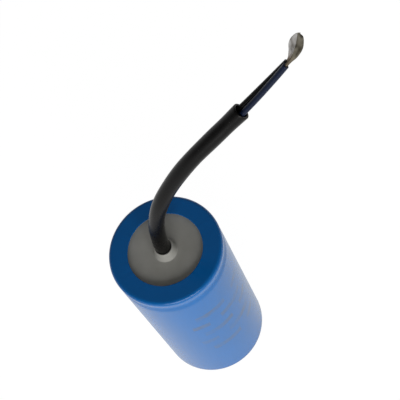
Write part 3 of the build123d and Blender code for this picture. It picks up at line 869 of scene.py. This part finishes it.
# Name, dark and light shade, roughness, grain in millimetres, strength of the bump, metallic, nodes
INNER_FINISHES = [
    ("seal_rubber_black", "#1B1B1B", "#262625", 0.75, 0.6, 0.4, 0.0, ["sealing_ring"]),
    ("cast_resin_amber", "#3A2A14", "#4A361B", 0.2, 3.0, 0.1, 0.0, ["resin_seal"]),
    ("winding_paper", "#B3A27E", "#CDBF9E", 0.8, 0.4, 0.5, 0.0, ["winding"]),
    ("tape_polyester_yellow", "#BFA24A", "#CDB35C", 0.25, 5.0, 0.1, 0.0, ["closing_tape"]),
    ("pitch_black", "#121110", "#1C1A18", 0.35, 2.5, 0.4, 0.0, ["anchor_compound"]),
    ("pressed_board", "#8F7850", "#A58C60", 0.85, 0.5, 0.5, 0.0, ["base_insulator", "top_insulator"]),
    ("clip_brass", "#A8863C", "#C19C4C", 0.35, 0.8, 0.2, 1.0, ["clip_black", "clip_blue"]),
    ("tubing_fibreglass", "#D6D0BC", "#E4E0D0", 0.7, 0.3, 0.5, 0.0, ["tubing_black", "tubing_blue"]),
]
for *finish, nodes in INNER_FINISHES:
    dress(plain_finish(*finish), *nodes)

# %% [markdown]
# ## Floor and backdrop
# The object stands on a white floor that curves up all round into a backdrop. It could be lit until it
# turns white, but that would wash out the object. So nine tenths of what the camera sees of it is a plain
# white glow, and the rest is lit as any surface is, so it still shows a shadow. Gloss mirrors the same
# paper, a little less bright.

# %% Make the studio
FLOOR_FLAT = 1600.0
FLOOR_SWEEP = 1000.0
FLOOR_COLUMNS = 96
SWEEP_STEPS = 16
PAPER_ROUGHNESS = 0.9
WHITE_SHARE = 0.9
WHITE_LEVEL = 1.09
MIRRORED_LEVEL = 0.88

sweep_turn = np.linspace(0, np.pi / 2, SWEEP_STEPS)
floor_radius = np.concatenate([[0.0], FLOOR_FLAT + FLOOR_SWEEP * np.sin(sweep_turn)])
floor_height = np.concatenate([[0.0], FLOOR_SWEEP * (1 - np.cos(sweep_turn))])
floor_turn = np.linspace(2 * np.pi, 0, FLOOR_COLUMNS, endpoint=False)
floor_grid = np.stack([floor_radius[:, None] * np.cos(floor_turn), floor_radius[:, None] * np.sin(floor_turn),
                       np.repeat(floor_height[:, None], FLOOR_COLUMNS, 1)], -1)
floor = grid_piece("studio_floor", floor_grid)

floor_finish, tree, shader = new_material("white_paper_floor")
shader.inputs["Base Color"].default_value = linear("#E6E6E6")
shader.inputs["Roughness"].default_value = PAPER_ROUGHNESS
light_path = add_node(tree, "ShaderNodeLightPath")
seen = add_node(tree, "ShaderNodeMath", settings={"operation": "MAXIMUM"},
                links={0: light_path.outputs["Is Camera Ray"], 1: light_path.outputs["Is Glossy Ray"]})
seen_too = add_node(tree, "ShaderNodeMath", settings={"operation": "MAXIMUM"},
                    links={0: seen.outputs[0], 1: light_path.outputs["Is Transmission Ray"]})
whiten = add_node(tree, "ShaderNodeMath", settings={"operation": "MULTIPLY"}, values={1: WHITE_SHARE},
                  links={0: seen_too.outputs[0]})
paper_level = add_node(tree, "ShaderNodeMapRange", values={"To Min": MIRRORED_LEVEL, "To Max": WHITE_LEVEL},
                       links={"Value": light_path.outputs["Is Camera Ray"]})
paper_glow = add_node(tree, "ShaderNodeEmission", values={"Color": (1.0, 1.0, 1.0, 1.0)},
                      links={"Strength": paper_level.outputs["Result"]})
paper = add_node(tree, "ShaderNodeMixShader", links={0: whiten.outputs[0], 1: shader.outputs[0],
                                                     2: paper_glow.outputs[0]})
tree.links.new(paper.outputs[0], tree.nodes["Material Output"].inputs["Surface"])
floor.data.materials.append(floor_finish)

# %% [markdown]
# ## Light
# In the photograph the sides are far brighter than the top, so most of the light comes from the white table
# and from one large soft box in front of it, low down. The table's light is a lamp that lies on it and
# faces up, a little warm, as paper under a lamp is. It is hidden from mirror rays, because the paper
# already shows them its white.

# %% Make the lights
BOX_DISTANCE = 1300.0
BOX_AZIMUTH_DEGREES = -97.0
BOX_ELEVATION_DEGREES = 18.0
BOX_SIZE = (1200.0, 600.0)
BOX_WATTS = 11.8
TABLE_SIZE = (3000.0, 3000.0)
TABLE_LIFT = 3.0
TABLE_WATTS = 19.0
TABLE_COLOUR = (1.0, 1.0, 0.8)
WORLD_LEVEL = 0.14


def soft_box(name, place, target, size, watts):
    """Rectangular lamp at a place, turned to a target, in millimetres and watts."""
    data = bpy.data.lights.new(name, "AREA")
    data.shape = "RECTANGLE"
    data.size = size[0] * MM
    data.size_y = size[1] * MM
    data.energy = watts
    lamp = bpy.data.objects.new(name, data)
    bpy.context.scene.collection.objects.link(lamp)
    lamp.location = Vector(place) * MM
    lamp.rotation_euler = (Vector(target) - Vector(place)).to_track_quat("-Z", "Y").to_euler()
    lamp.visible_camera = False
    print(name, watts, "W")
    return lamp


box_turn = math.radians(BOX_AZIMUTH_DEGREES)
box_lift = math.radians(BOX_ELEVATION_DEGREES)
box_out = BOX_DISTANCE * math.cos(box_lift)
box_up = BOX_DISTANCE * math.sin(box_lift)
box_place = (box_out * math.cos(box_turn), box_out * math.sin(box_turn), HEIGHT + box_up)
soft_box("front_box", box_place, (0, 0, HEIGHT), BOX_SIZE, BOX_WATTS)
table_lamp = soft_box("table_glow", (0, 0, TABLE_LIFT), (0, 0, HEIGHT), TABLE_SIZE, TABLE_WATTS)
table_lamp.visible_glossy = False
table_lamp.data.color = TABLE_COLOUR

world = bpy.data.worlds.new("studio_world")
bpy.context.scene.world = world
world.use_nodes = True
sky = world.node_tree.nodes["Background"]
sky.inputs["Color"].default_value = (1.0, 1.0, 1.0, 1.0)
sky.inputs["Strength"].default_value = WORLD_LEVEL
